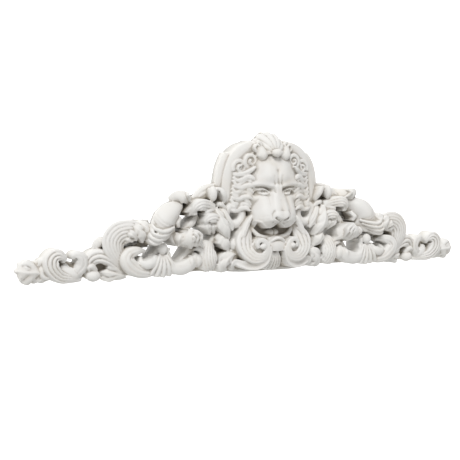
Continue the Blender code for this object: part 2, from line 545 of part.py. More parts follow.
def ground(body):
    """The low floor that closes the pockets between the ornaments where the casting isn't pierced."""
    ribbon(body, [(0, 12, 40, 10), (60, 16, 40, 14), (112, 24, 30, 18), (150, 20, 30, 12), (180, 16, 30, 9),
                  (230, 16, 30, 9), (280, 16, 30, 8), (310, 16, 30, 8)], plain(0), 40, 6)
    ribbon(body, [(0, 90, 40, 60), (40, 90, 40, 60), (62, 84, 34, 22)], plain(0), 12, 6)
    ribbon(body, [(84, 60, 34, 18), (112, 46, 30, 12), (128, 40, 30, 10)], plain(0), 12, 6)
    ribbon(body, [(104, 130, 36, 14), (140, 140, 36, 22), (176, 140, 34, 12)], plain(0), 12, 6)
    ribbon(body, [(260, 100, 36, 14), (300, 90, 36, 14), (335, 70, 30, 16), (350, 40, 24, 16),
                  (372, 24, 20, 14), (400, 20, 18, 12)], plain(0), 24, 6)
    ribbon(body, [(400, 20, 18, 14), (430, 26, 20, 16), (460, 26, 16, 12), (480, 25, 14, 10)],
           plain(0), 16, 6)


def join_side(body, build):
    """Builds one side at +X and its mirror image at -X."""
    half = bmesh.new()
    for make in build:
        make(half)
    mesh = bpy.data.meshes.new("half")
    half.to_mesh(mesh)
    body.from_mesh(mesh)
    bmesh.ops.scale(half, vec=(-1, 1, 1), verts=half.verts)
    bmesh.ops.reverse_faces(half, faces=half.faces)
    half.to_mesh(mesh)
    body.from_mesh(mesh)
    half.free()
    bpy.data.meshes.remove(mesh)


def drop_inner_shells(mesh):
    """Keeps the outer skin only, so that no sealed pocket is left inside."""
    body = bmesh.new()
    body.from_mesh(mesh)
    left = set(body.verts)
    groups = []
    while left:
        group = set()
        front = [left.pop()]
        while front:
            vert = front.pop()
            group.add(vert)
            for edge in vert.link_edges:
                other = edge.other_vert(vert)
                if other in left:
                    left.remove(other)
                    front.append(other)
        groups.append(group)
    keep = max(groups, key=len)
    bmesh.ops.delete(body, geom=[v for g in groups if g is not keep for v in g], context="VERTS")
    body.to_mesh(mesh)
    body.free()


def fused(name, body):
    """The carving as one skin: fused, thinned, and cut flat at the wall."""
    raw = bpy.data.meshes.new(name + "_raw")
    body.to_mesh(raw)
    body.free()
    obj = bpy.data.objects.new(name, raw)
    bpy.context.collection.objects.link(obj)
    fuse = obj.modifiers.new("Fuse", "REMESH")
    fuse.mode = "VOXEL"
    fuse.voxel_size = GRAIN
    obj.data = applied(obj)
    obj.modifiers.clear()
    drop_inner_shells(obj.data)
    soften = obj.modifiers.new("Soften", "SMOOTH")
    soften.factor = 0.5
    soften.iterations = 1
    thin = obj.modifiers.new("Thin", "DECIMATE")
    thin.ratio = FACE_COUNT / (2 * len(obj.data.polygons))
    thin.use_collapse_triangulate = True
    obj.data = applied(obj)
    obj.modifiers.clear()
    return obj


def applied(obj):
    graph = bpy.context.evaluated_depsgraph_get()
    graph.update()
    return bpy.data.meshes.new_from_object(obj.evaluated_get(graph), depsgraph=graph)


def wall_cutter():
    """Everything behind the back plane."""
    size = 2 * max(WIDTH, HEIGHT)
    bpy.ops.mesh.primitive_cube_add(size=size, location=(0, size / 2, 0))
    cutter = bpy.context.object
    cutter.name = "wall_cutter"
    cutter.hide_render = True
    cutter.display_type = "WIRE"
    return cutter


def cast_stone():
    material = bpy.data.materials.new("cast_resin_stone")
    material.use_nodes = True
    shader = material.node_tree.nodes["Principled BSDF"]
    shader.inputs["Base Color"].default_value = CAST_COLOUR
    shader.inputs["Roughness"].default_value = CAST_ROUGHNESS
    shader.inputs["Metallic"].default_value = 0.0
    return material


def main():
    clear_scene()
    body = bmesh.new()
    join_side(body, [end_group, curled_leaf_group, great_leaf, lower_scrolls, sheath_group, leaf_cluster,
                     foot_leaves, volute, frame_side, crown_side, mane_side, ground])
    face(body)
    crown(body)
    buckle(body)
    pediment = fused("pediment", body)
    cut = pediment.modifiers.new("Flat back", "BOOLEAN")
    cut.operation = "DIFFERENCE"
    cut.solver = "EXACT"
    cut.object = wall_cutter()
    pediment.data.materials.clear()
    pediment.data.materials.append(cast_stone())


main()
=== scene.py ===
import math
import bpy
import numpy as np
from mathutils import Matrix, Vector


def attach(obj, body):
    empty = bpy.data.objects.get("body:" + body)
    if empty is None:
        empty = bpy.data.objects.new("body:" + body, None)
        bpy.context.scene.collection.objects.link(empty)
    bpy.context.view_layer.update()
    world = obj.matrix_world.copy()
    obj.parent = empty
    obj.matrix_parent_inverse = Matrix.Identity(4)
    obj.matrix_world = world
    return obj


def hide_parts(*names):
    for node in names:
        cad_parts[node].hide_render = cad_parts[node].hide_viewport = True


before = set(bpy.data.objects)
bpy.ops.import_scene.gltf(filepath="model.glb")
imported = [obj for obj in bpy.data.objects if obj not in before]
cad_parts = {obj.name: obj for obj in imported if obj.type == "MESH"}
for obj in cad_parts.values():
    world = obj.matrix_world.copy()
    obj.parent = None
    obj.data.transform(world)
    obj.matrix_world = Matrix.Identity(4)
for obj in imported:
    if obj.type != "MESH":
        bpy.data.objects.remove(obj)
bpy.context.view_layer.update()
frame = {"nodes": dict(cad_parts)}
print("frame loaded:", ", ".join(frame["nodes"]))

# The casting is laid out on a pattern sheet: x outwards from the middle, z up from the foot
# line, p out from the wall. The sizes in metres turn the sheet's units into the real ones.
casting = dict(
    width=1.040, height=0.285, relief=0.095, mountRise=0.120,
    half=520.0, high=285.0, deep=95.0, wall=10.0,
    behind=6.0,        # how far the carving runs behind the wall plane before the back is cut flat
    grain=0.0012,      # size of the finest cut that the fusing keeps
    soften=1,          # rounds of smoothing after the fusing
    faceCount=196000,  # triangles that the finished casting keeps
    smoothDeg=50,      # sharper edges than this stay crisp
)


def deselectAll():
    if bpy.context.mode != "OBJECT":
        bpy.ops.object.mode_set(mode="OBJECT")
    bpy.ops.object.select_all(action="DESELECT")


def makeActive(obj):
    deselectAll()
    obj.select_set(True)
    bpy.context.view_layer.objects.active = obj


def applyModifier(obj, kind, **settings):
    makeActive(obj)
    mod = obj.modifiers.new(kind.title(), kind)
    for key, value in settings.items():
        setattr(mod, key, value)
    bpy.ops.object.modifier_apply(modifier=mod.name)


def joinAll(pieces, name):
    makeActive(pieces[0])
    for piece in pieces:
        piece.select_set(True)
    bpy.ops.object.join()
    pieces[0].name = name
    return pieces[0]


# Sheet units (x, z, p) to metres (X, Y, Z)
def toWorld(points):
    x, z, p = np.asarray(points, float).T
    return np.stack([
        x * casting["width"] / 2 / casting["half"],
        (casting["wall"] - p) * casting["relief"] / casting["deep"],
        z * casting["height"] / casting["high"] - casting["mountRise"],
    ], axis=1)


blanks = {}
carvings = []


# A closed slab, drawn out from a grid once and copied for every leaf of that fineness
def blank(countAlong, countAcross):
    key = (countAlong, countAcross)
    if key not in blanks:
        deselectAll()
        bpy.ops.mesh.primitive_grid_add(x_subdivisions=countAlong, y_subdivisions=countAcross,
                                        size=2)
        bpy.ops.object.mode_set(mode="EDIT")
        bpy.ops.mesh.select_all(action="SELECT")
        bpy.ops.mesh.extrude_region_move(TRANSFORM_OT_translate={"value": (0, 0, 1)})
        bpy.ops.mesh.select_all(action="SELECT")
        bpy.ops.mesh.normals_make_consistent(inside=False)
        bpy.ops.object.mode_set(mode="OBJECT")
        obj = bpy.context.object
        blanks[key] = obj.data
        bpy.data.objects.remove(obj)
    return blanks[key].copy()


# Bends a blank: its face onto the front surface and its underside onto the back one
def sheet(countAlong, countAcross, front, back):
    mesh = blank(countAlong, countAcross)
    flat = np.empty(len(mesh.vertices) * 3)
    mesh.vertices.foreach_get("co", flat)
    flat = flat.reshape(-1, 3)
    top = flat[:, 2] > 0.5
    u, v = (flat[:, 0] + 1) / 2, flat[:, 1]
    flat[top] = toWorld(front(u[top], v[top]))
    flat[~top] = toWorld(back(u[~top], v[~top]))
    mesh.vertices.foreach_set("co", flat.ravel())
    obj = bpy.data.objects.new("leaf", mesh)
    bpy.context.collection.objects.link(obj)
    carvings.append(obj)


# A ball or knob on a stem that runs back to the wall
def boss(x, z, p, across, up=None, out=None):
    up = across if up is None else up
    out = across if out is None else out
    metre = np.array([casting["width"] / 2 / casting["half"], casting["relief"] / casting["deep"],
                      casting["height"] / casting["high"]])
    place = toWorld([(x, z, p)])[0]
    size = np.array([across, out, up]) * metre
    wall = toWorld([(x, z, casting["wall"] - casting["behind"])])[0][1]
    deselectAll()
    bpy.ops.mesh.primitive_uv_sphere_add(segments=24, ring_count=14, radius=1, location=place,
                                         scale=size)
    ball = bpy.context.object
    middle = (place[0], (place[1] + wall) / 2, place[2])
    stemSize = (size[0] * 0.8, size[2] * 0.8, abs(wall - place[1]) / 2)
    bpy.ops.mesh.primitive_cylinder_add(vertices=24, radius=1, depth=2, location=middle,
                                        rotation=(math.pi / 2, 0, 0), scale=stemSize)
    stem = bpy.context.object
    for obj in (ball, stem):
        makeActive(obj)
        bpy.ops.object.transform_apply()
        carvings.append(obj)


# A smooth line through stations (x, z, p, half width), read at even steps of its length
def smoothPath(stations, count):
    own = np.array(stations, float)
    more = np.vstack([2 * own[0] - own[1], own, 2 * own[-1] - own[-2]])
    t = np.linspace(0, len(own) - 1, 12 * len(own))
    i = np.minimum(t.astype(int), len(own) - 2)
    f = (t - i)[:, None]
    a, b, c, d = more[i], more[i + 1], more[i + 2], more[i + 3]
    line = 0.5 * (2 * b + (c - a) * f + (2 * a - 5 * b + 4 * c - d) * f**2
                  + (3 * b - a - 3 * c + d) * f**3)
    steps = np.linalg.norm(np.diff(line[:, :3], axis=0), axis=1)
    run = np.concatenate([[0], np.cumsum(steps)])
    even = np.linspace(0, run[-1], count)
    return np.stack([np.interp(even, run, line[:, k]) for k in range(4)], axis=1)


# Unit vectors across and away from the wall at each point of a line
def framesAlong(line):
    ahead = np.gradient(line, axis=0)
    ahead /= np.linalg.norm(ahead, axis=1)[:, None] + 1e-9
    across = np.stack([ahead[:, 1], -ahead[:, 0], np.zeros(len(line))], axis=1)
    for k in range(1, len(across)):
        if np.dot(across[k], across[k - 1]) < 0:
            across[k] = -across[k]
    across = np.stack([np.convolve(np.pad(across[:, j], 2, mode="edge"), np.ones(5) / 5, "valid")
                       for j in range(3)], axis=1)
    across /= np.linalg.norm(across, axis=1)[:, None] + 1e-9
    return ahead, across, np.cross(across, ahead)


# Round ridges side by side with sharp furrows between them, over v from -1 to 1
def ridge(v, count):
    return np.abs(np.sin(math.pi * count * (v + 1) / 2)) ** 0.6


# A leaf: lobes that point forwards along both edges, grooves from each notch towards the vein
def acanthus(lobes=4, cut=0.28, groove=0.30, arch=0.30, slant=0.22, vein=0.10):
    def section(u, v):
        side = np.abs(v)
        lobe = np.abs(np.sin(math.pi * lobes * (u + slant * (1 - side)))) ** 0.6
        fade = np.clip(u * 6, 0, 1)
        spread = 1 - cut * (1 - lobe) * fade
        height = -arch * side**2 - groove * side * (1 - lobe) * fade + vein * np.exp(-(v / 0.16) ** 2)
        return height, spread, np.zeros_like(u)
    return section


# Flutes that run the whole length, with a scalloped end where tip is more than nothing
def fluted(ribs=3, depth=0.30, arch=0.30, tip=0.0):
    def section(u, v):
        lobe = ridge(v, ribs)
        height = -arch * v**2 - depth * (1 - lobe) * np.clip(u * 4, 0, 1)
        return height, np.ones_like(u), tip * (lobe - 1 - 0.8 * v**2) * u**3
    return section


# A scroll band: a bead along each edge and a hollow between them
def moulded(bead=0.16, cove=0.22, arch=0.10):
    def section(u, v):
        side = np.abs(v)
        height = bead * np.exp(-((side - 0.80) / 0.16) ** 2)
        height = height - cove * (1 - side**2) - arch * side**4
        return height, np.ones_like(u), np.zeros_like(u)
    return section


def plain(arch=0.45):
    def section(u, v):
        return -arch * v**2, np.ones_like(u), np.zeros_like(u)
    return section


# A smooth shell with a round end and shallow rings beside its rim
def cupped(arch=0.4, tip=0.3, rings=2):
    def section(u, v):
        reach = u + 0.06 * v**2
        groove = np.zeros_like(u)
        for k in range(rings):
            groove += np.exp(-((reach - 0.93 + 0.075 * k) / 0.018) ** 2)
        return -arch * v**2 - 0.06 * groove, np.ones_like(u), -tip * 1.6 * v**2 * u**4
    return section


# Points brought behind the wall plane, and towards the middle by shift
def footed(under, shift):
    under[:, 0] -= np.sign(under[:, 0]) * np.minimum(shift, np.abs(under[:, 0]))
    under[:, 2] = casting["wall"] - casting["behind"]
    return under


# A leaf or band along its stations, with side walls that run down to the wall.
# foot is the part of its width that meets the wall, and lean draws that foot towards the middle.
def ribbon(stations, section, along=30, across=14, foot=(-1, 1), lean=0.0):
    line = smoothPath(stations, 96)
    ahead, side, away = framesAlong(line[:, :3])
    reach = np.linspace(0, 1, len(line))

    def read(table, u):
        return np.stack([np.interp(u, reach, table[:, k]) for k in range(table.shape[1])], axis=1)

    def surface(u, v):
        height, spread, forward = section(u, v)
        width = read(line, u)[:, 3]
        return (read(line, u)[:, :3] + read(side, u) * (v * width * spread)[:, None]
                + read(away, u) * (height * width)[:, None]
                + read(ahead, u) * (forward * width)[:, None])

    def behind(u, v):
        top = surface(u, v)
        under = surface(u, foot[0] + (foot[1] - foot[0]) * (v + 1) / 2)
        return footed(under, lean * (top[:, 2] - casting["wall"]))

    sheet(along, across, surface, behind)


# A fan of ribs from a hub (x, z) out to radii (across, up), between two angles from +X
def shell(hub, radii, ribs, fromDeg, toDeg, pHub, pRim, bulge=0.0, scallop=0.12, depth=3.0,
          hubShare=0.12, along=12, across=40, lean=0.0):
    def front(u, v):
        rib = ridge(v, ribs)
        angle = np.radians(fromDeg + (toDeg - fromDeg) * (v + 1) / 2)
        share = hubShare + (1 - hubShare) * u * (1 - scallop * (1 - rib) * u)
        p = pHub + (pRim - pHub) * u**1.5 + bulge * np.sin(math.pi * u)
        p -= depth * (1 - rib) * np.clip(3 * u, 0, 1)
        return np.stack([hub[0] + radii[0] * share * np.cos(angle),
                         hub[1] + radii[1] * share * np.sin(angle), p], axis=1)

    def behind(u, v):
        under = front(u, v)
        return footed(under, lean * (under[:, 2] - casting["wall"]))

    sheet(along, across, front, behind)


# Stations of a spiral that winds in round (x, z). Positive turns go anticlockwise.
def curl(x, z, radius, startDeg, turns, p, width, inner=0.25, rise=0.0):
    stations = []
    steps = max(5, int(abs(turns) * 10))
    for k in range(steps + 1):
        t = k / steps
        angle = math.radians(startDeg) + 2 * math.pi * turns * t
        r = radius * (1 - (1 - inner) * t)
        stations.append((x + r * math.cos(angle), z + r * math.sin(angle), p + rise * t,
                         width * (1 - (1 - inner) * 0.8 * t)))
    return stations


# The outer end of a wing: a lobed end leaf, its ring, a ribbed scroll and a curled leaf
def endGroup():
    ribbon([(467, 21, 30, 14.5), (486, 24, 34, 23), (503, 25, 34, 23), (514, 27, 30, 18.5),
            (519, 27, 23, 12), (519, 27, 15, 7)], acanthus(3, 0.20, 0.30, 0.45), 34, 18)
    ribbon([(491, 31, 34, 10), (503, 37, 34, 11), (512, 37, 28, 6)],
           fluted(2, 0.30, 0.5, 0.3), 20, 14)
    ribbon([(466, 36, 32, 11), (475, 45, 34, 9), (478, 48, 28, 4.5)], plain(0.5), 14, 10)
    ribbon([(490, 18, 32, 11), (495, 14, 31, 9), (489, 10, 20, 6)], plain(0.5), 14, 10)
    ribbon([(468, 16, 30, 12), (470, 12, 31, 10.5), (462, 8, 20, 8)], plain(0.5), 14, 10)
    ribbon(curl(462, 24, 13, 60, -1.15, 36, 6, inner=0.45, rise=3), plain(0.7), 44, 10)
    ribbon([(397, 6, 30, 3.5), (419, 9, 38, 8), (441, 14, 44, 12), (456, 29, 47, 14.5),
            (458, 44, 47, 16), (451, 53, 46, 14), (441, 53, 45, 11), (434, 46, 42, 7),
            (435, 39, 36, 3)], fluted(4, 0.32, 0.30), 56, 32)
    ribbon([(432, 36, 30, 7), (426, 24, 36, 10.5), (412, 17, 38, 9), (397, 19, 34, 6)],
           plain(0.4), 24, 10)
    ribbon([(410, 11, 30, 7), (402, 10, 32, 7.5), (394, 6, 22, 5.5)], plain(0.5), 14, 10)
    ribbon([(416, 15, 32, 7), (406, 22, 40, 11), (398, 33, 43, 12), (399, 46, 45, 10.5),
            (406, 52, 45, 9), (414, 51, 43, 7.5), (417, 45, 38, 4)], fluted(2, 0.16, 0.45), 40, 18)


# The ball under an arching leaf, and the small leaves at the foot of the great leaf
def curledLeafGroup():
    boss(376, 12, 34, 14, 11, 11)
    ribbon([(370, 20, 38, 5.5), (380, 30, 44, 6), (386, 28, 43, 4), (384, 21, 38, 2)],
           plain(0.6), 22, 8)
    ribbon([(384, 12, 28, 4), (388, 30, 38, 9), (380, 45, 45, 13), (365, 49, 49, 13.5),
            (348, 42, 50, 10.5), (331, 28, 47, 7), (313, 11, 42, 3)], fluted(3, 0.30, 0.35), 50, 24)
    ribbon([(380, 29, 36, 3.5), (374, 38, 42, 6), (363, 41, 42, 3.5)], plain(0.6), 16, 8)
    ribbon([(367, 53, 28, 8), (367, 67, 36, 10), (360, 75, 37, 8.5), (349, 69, 32, 3.5)],
           plain(0.4), 20, 10, lean=0.5)
    ribbon([(313, 12, 42, 3.5), (334, 24, 45, 7.5), (348, 34, 44, 8), (356, 34, 37, 3.5)],
           acanthus(2, 0.3, 0.4), 26, 12)
    ribbon([(315, 10, 42, 3.5), (335, 14, 43, 7.5), (351, 17, 40, 6.5), (360, 18, 33, 3)],
           acanthus(2, 0.3, 0.4), 24, 12)
    ribbon([(314, 8, 40, 3.5), (329, 7, 40, 6), (345, 6, 37, 7.5), (355, 9, 30, 5.5)],
           acanthus(2, 0.3, 0.4), 24, 12)
    ribbon([(311, 7, 38, 2.5), (323, 5, 36, 4), (332, 3, 30, 3)], plain(0.5), 14, 8)


# The large fluted acanthus that rises from the foot and rolls in over the first opening
def greatLeaf():
    ribbon([(296, 13, 42, 3.5), (316, 27, 48, 7), (330, 44, 53, 13), (339, 61, 56, 20.5),
            (340, 77, 57, 24), (331, 89, 58, 24), (316, 94, 60, 22), (301, 94, 61, 19.5),
            (288, 90, 60, 14.5), (279, 81, 55, 9)],
           fluted(7, 0.10, 0.30), 70, 64, foot=(-0.9, 0.3), lean=0.35)
    ribbon([(306, 104, 58, 8), (297, 97, 67, 11), (288, 85, 66, 9), (284, 71, 56, 3)],
           acanthus(2, 0.3, 0.4), 26, 14)
    ribbon([(291, 109, 54, 8), (283, 103, 64, 10.5), (276, 92, 64, 8), (272, 80, 54, 2.5)],
           acanthus(2, 0.3, 0.4), 26, 14)
    ribbon([(318, 96, 56, 7), (311, 91, 66, 7.5), (302, 84, 64, 5.5), (296, 75, 56, 1.5)],
           fluted(2, 0.36, 0.5, 0.4), 26, 14)
    ribbon([(322, 82, 56, 3.5), (314, 79, 60, 4.5), (303, 73, 54, 1.5)],
           fluted(2, 0.36, 0.5, 0.4), 20, 12)


# The two C-scrolls that meet at the bud with its fluted foot
def lowerScrolls():
    ribbon([(274, 55, 50, 2), (294, 57, 60, 8), (311, 52, 62, 11.5), (317, 41, 64, 14),
            (308, 28, 64, 14.5), (293, 18, 63, 12.5), (273, 14, 60, 9), (256, 18, 58, 5.5)],
           fluted(3, 0.12, 0.40), 60, 30)
    ribbon([(285, 46, 50, 3), (287, 37, 62, 6.5), (277, 31, 67, 9), (264, 36, 66, 8.5),
            (256, 47, 58, 4.5)], plain(0.45), 36, 18)
    ribbon([(310, 17, 44, 3.5), (292, 12, 52, 6.5), (274, 14, 57, 8), (260, 22, 58, 7),
            (249, 32, 54, 4)], fluted(2, 0.18, 0.40), 34, 14)
    shell((243, 61), (60, 58), 5, 236, 303, 60, 60, bulge=6, scallop=0.16, depth=5, hubShare=0.25,
          along=20, across=44)
    boss(244, 59, 58, 10, 11, 9)
    ribbon([(229, 60, 56, 4), (232, 50, 58, 3.5), (230, 34, 58, 3.5), (224, 20, 58, 3.5),
            (215, 8, 54, 2.5)], plain(0.5), 28, 10)
    ribbon([(228, 51, 56, 3), (230, 35, 62, 6.5), (222, 23, 66, 10.5), (208, 19, 68, 13),
            (192, 24, 69, 13), (181, 32, 68, 11), (175, 42, 64, 7.5), (175, 48, 58, 5)],
           plain(0.42), 48, 20)
    boss(170, 32, 56, 11, 13, 11)
    ribbon([(184, 44, 58, 2.5), (185, 37, 69, 4.5), (186, 27, 70, 4.5), (190, 18, 64, 2.5)],
           plain(0.5), 24, 10)
    ribbon([(150, 44, 54, 4), (158, 51, 60, 4.5), (169, 55, 62, 4), (177, 53, 56, 1.5)],
           plain(0.6), 22, 10)


# The smooth sheath that arches out from the leaf cluster, and the two shells that it grows from
def sheathGroup():
    ribbon([(200, 143, 54, 11.5), (216, 133, 67, 19), (231, 122, 73, 23), (241, 110, 74, 24),
            (245, 98, 70, 23.5), (245, 91, 66, 22.5)], cupped(0.70, 0.34, 3), 60, 36, lean=0.5)
    ribbon([(224, 109, 62, 20), (245, 95, 70, 21), (259, 83, 71, 16.5), (261, 70, 60, 11)],
           plain(0.45), 36, 22, lean=0.3)
    ribbon([(268, 107, 66, 2), (267, 99, 82, 3.5), (255, 93, 86, 4), (239, 95, 82, 3.5),
            (221, 100, 66, 2)], plain(0.8), 30, 10)
    ribbon([(271, 102, 66, 2), (271, 90, 82, 3.5), (259, 85, 85, 4), (243, 87, 81, 3.5),
            (226, 93, 66, 2)], plain(0.8), 30, 10)
    ribbon([(274, 95, 64, 2), (275, 83, 80, 3.5), (264, 77, 83, 4), (249, 80, 79, 3.5),
            (232, 87, 64, 2)], plain(0.8), 30, 10)
    ribbon([(274, 87, 60, 2), (275, 75, 76, 3.5), (266, 70, 78, 3.5), (253, 74, 75, 3.5),
            (238, 80, 60, 2)], plain(0.8), 30, 10)


# Leaves that burst from beside the frame: the outward leaf, ribbed curls and hanging lobes
def leafCluster():
    ribbon([(112, 174, 42, 8), (130, 169, 47, 12.5), (147, 163, 48, 13.5), (161, 155, 48, 10.5),
            (173, 148, 48, 8), (180, 145, 46, 5)], fluted(3, 0.12, 0.40), 40, 24, lean=0.6)
    ribbon([(178, 148, 50, 8), (198, 155, 66, 11), (211, 156, 62, 11.5), (219, 151, 50, 9.5),
            (221, 149, 40, 5.5)], plain(0.55), 30, 14, lean=0.6)
    ribbon([(190, 166, 62, 2), (195, 161, 74, 3), (191, 154, 68, 2.5), (182, 146, 58, 2)],
           plain(0.8), 18, 8)
    boss(137, 162, 62, 8, 15, 11)
    ribbon([(127, 164, 58, 4.5), (125, 169, 66, 5), (119, 167, 70, 5.5), (113, 158, 70, 5.5),
            (110, 148, 64, 4.5), (111, 142, 58, 2.5)], fluted(3, 0.32, 0.35), 40, 24)
    ribbon([(131, 133, 62, 9), (148, 139, 70, 11), (166, 141, 77, 11.5), (177, 136, 76, 11),
            (181, 128, 70, 6.5), (179, 121, 62, 2.5)], fluted(4, 0.26, 0.40), 44, 30)
    ribbon([(176, 133, 70, 6.5), (185, 132, 69, 6.5), (190, 129, 64, 4.5), (193, 126, 58, 2)],
           fluted(2, 0.40, 0.55, 0.4), 26, 14)
    ribbon([(174, 126, 68, 5), (184, 124, 66, 5), (187, 119, 58, 1.5)],
           fluted(2, 0.40, 0.55, 0.4), 22, 14)
    ribbon([(128, 129, 62, 8), (146, 126, 70, 8), (154, 124, 69, 6.5), (158, 122, 62, 2.5)],
           fluted(2, 0.42, 0.55, 0.4), 30, 16)
    ribbon([(130, 120, 60, 8), (149, 115, 69, 9.5), (157, 112, 67, 7), (161, 110, 60, 2.5)],
           fluted(2, 0.42, 0.55, 0.4), 30, 16)
    ribbon([(135, 109, 60, 9), (151, 102, 69, 11), (159, 98, 67, 8.5), (163, 97, 60, 3)],
           fluted(3, 0.34, 0.55, 0.4), 32, 20)
    ribbon([(115, 96, 60, 6), (121, 106, 68, 8), (135, 114, 76, 9.5), (148, 114, 78, 9),
            (155, 109, 75, 7), (154, 101, 68, 3.5)], fluted(3, 0.34, 0.40), 44, 26)
    ribbon([(147, 107, 68, 7), (150, 98, 72, 8.5), (145, 90, 66, 5.5), (139, 81, 56, 1)],
           fluted(2, 0.40, 0.55, 0.4), 26, 16)
    ribbon([(137, 105, 68, 7), (137, 97, 71, 8), (134, 89, 64, 4.5), (129, 83, 56, 1)],
           fluted(2, 0.40, 0.55, 0.4), 24, 16)
    ribbon([(127, 106, 66, 5), (125, 98, 68, 5), (121, 91, 58, 1)],
           fluted(2, 0.40, 0.55, 0.4), 20, 14)
    ribbon([(131, 134, 60, 7), (127, 122, 70, 11), (123, 109, 76, 12.5), (117, 96, 79, 12),
            (110, 85, 76, 9.5), (101, 72, 66, 2)], acanthus(3, 0.16, 0.30, 0.40), 50, 26)
    ribbon([(114, 136, 56, 6.5), (112, 127, 64, 7), (106, 113, 68, 8), (98, 100, 68, 8),
            (92, 88, 64, 3)], fluted(3, 0.30, 0.45, 0.3), 40, 24)
    ribbon([(126, 138, 58, 4), (120, 141, 64, 4.5), (111, 137, 62, 4), (103, 129, 58, 2.5)],
           fluted(2, 0.3, 0.5), 26, 14)
    ribbon([(215, 88, 58, 4), (213, 85, 70, 10), (206, 81, 79, 15), (196, 80, 84, 16.5),
            (184, 78, 82, 16.5), (172, 74, 76, 15), (161, 71, 66, 12)], plain(0.5), 56, 24)
    ribbon([(192, 93, 74, 1.5), (186, 92, 88, 3), (176, 85, 88, 3.5), (174, 75, 86, 3),
            (173, 65, 74, 1.5)], plain(0.8), 26, 8)
    ribbon([(193, 89, 74, 1.5), (190, 88, 89, 2.5), (183, 81, 89, 3), (183, 72, 86, 2.5),
            (182, 65, 74, 1.5)], plain(0.8), 26, 8)
    ribbon([(196, 84, 76, 1.5), (193, 82, 88, 2.5), (190, 77, 88, 2.5), (191, 71, 84, 2)],
           plain(0.8), 26, 8)
    ribbon([(208, 84, 76, 7.5), (214, 75, 78, 7.5), (211, 61, 62, 1)],
           fluted(2, 0.40, 0.5, 0.4), 28, 16)
    ribbon([(200, 80, 80, 6.5), (203, 70, 78, 6), (199, 60, 62, 1)],
           fluted(2, 0.40, 0.5, 0.4), 26, 16)
    ribbon([(190, 74, 80, 9.5), (190, 65, 78, 8), (184, 56, 64, 2)],
           fluted(3, 0.36, 0.5, 0.4), 26, 20)
    ribbon([(175, 74, 76, 7), (167, 66, 72, 5.5), (156, 57, 58, 1)],
           fluted(2, 0.40, 0.5, 0.4), 24, 14)
    ribbon([(217, 94, 52, 5), (223, 83, 60, 7), (220, 72, 60, 5), (215, 64, 54, 1.5)],
           fluted(2, 0.30, 0.45, 0.3), 28, 16)
    ribbon([(203, 118, 56, 4), (211, 108, 62, 4.5), (208, 98, 58, 3)], plain(0.5), 18, 10)


# The fluted drop and the low leaves along the foot, beside the volute
def footLeaves():
    ribbon([(135, 67, 52, 12.5), (142, 56, 62, 17.5), (145, 39, 68, 19), (141, 22, 66, 18.5),
            (135, 11, 58, 16)], fluted(6, 0.16, 0.35, 0.25), 34, 46)
    ribbon([(125, 82, 60, 7.5), (119, 75, 70, 13), (111, 63, 72, 11.5), (100, 49, 62, 3.5)],
           acanthus(2, 0.3, 0.3), 26, 14)
    ribbon([(76, 67, 58, 8.5), (87, 61, 66, 10.5), (91, 51, 62, 6)], plain(0.45), 18, 10)
    ribbon([(75, 42, 56, 10), (95, 39, 65, 12.5), (108, 29, 67, 16), (109, 16, 62, 14),
            (101, 8, 52, 7.5)], acanthus(3, 0.28, 0.35), 34, 18)
    ribbon([(86, 10, 56, 3), (92, 18, 64, 4), (87, 25, 68, 6), (77, 22, 72, 7), (60, 16, 77, 7),
            (43, 16, 81, 6.5), (28, 24, 85, 6), (21, 39, 87, 5), (20, 55, 87, 4)],
           moulded(0.12, 0.18), 60, 16)
    ribbon([(107, 45, 54, 6), (106, 39, 60, 7), (111, 32, 56, 4.5)], plain(0.5), 14, 8)


# Webs that stand at the inner side of each opening, below the leaves
def openingWalls():
    ribbon([(163, 121, 48, 3.5), (176, 105, 52, 6), (191, 92, 46, 3.5)], plain(0.3), 14, 8)
    ribbon([(120, 86, 48, 3.5), (131, 71, 52, 6), (138, 59, 46, 3.5)], plain(0.3), 14, 8)
    ribbon([(176, 64, 50, 5.5), (182, 49, 52, 9), (200, 32, 48, 4.5)], plain(0.3), 14, 8)
    ribbon([(247, 62, 48, 3.5), (253, 50, 52, 5.5), (264, 44, 46, 3)], plain(0.3), 14, 8)
    ribbon([(313, 42, 34, 3.5), (301, 57, 37, 7.5), (284, 66, 38, 6.5), (264, 64, 36, 3.5)],
           plain(0.3), 16, 8)


# The scroll that winds in beside the buckle below the mask
def volute():
    ribbon([(52, 98, 60, 6.5), (62, 83, 68, 14.5), (69, 66, 75, 19.5), (68, 48, 81, 15),
            (53, 34, 85, 12), (34, 35, 87, 8.5), (25, 48, 88, 6.5), (27, 62, 88, 5),
            (38, 69, 88, 4.5), (47, 64, 87, 4), (46, 52, 85, 3)], fluted(4, 0.13, 0.14), 90, 40)
    boss(35, 56, 84, 7, 6, 7)
    boss(41, 54, 75, 16, 16, 4)


# One side of the moulded hood round the head, with the shoulder that stands outside it
def frameSide():
    ribbon([(100, 132, 50, 11), (97, 154, 55, 14), (95, 180, 56, 15), (90, 206, 57, 15),
            (79, 229, 58, 15), (62, 245, 58, 14), (42, 255, 58, 11)], plain(0.32), 70, 24)
    ribbon([(86, 134, 56, 2), (83, 156, 59, 2.4), (80, 182, 60, 2.4), (75, 205, 61, 2.4),
            (66, 225, 61, 2.4), (52, 237, 61, 2.2), (38, 243, 58, 2)], plain(0.6), 60, 8)
    ribbon([(110, 138, 40, 14), (108, 163, 46, 15), (105, 190, 49, 15), (101, 212, 49, 14),
            (95, 230, 47, 12), (91, 241, 43, 9)], fluted(3, 0.06, 0.30), 36, 28, lean=0.3)
    ribbon(curl(85, 119, 19, 70, -1.02, 60, 8.5, inner=1.0), plain(0.6), 48, 10)


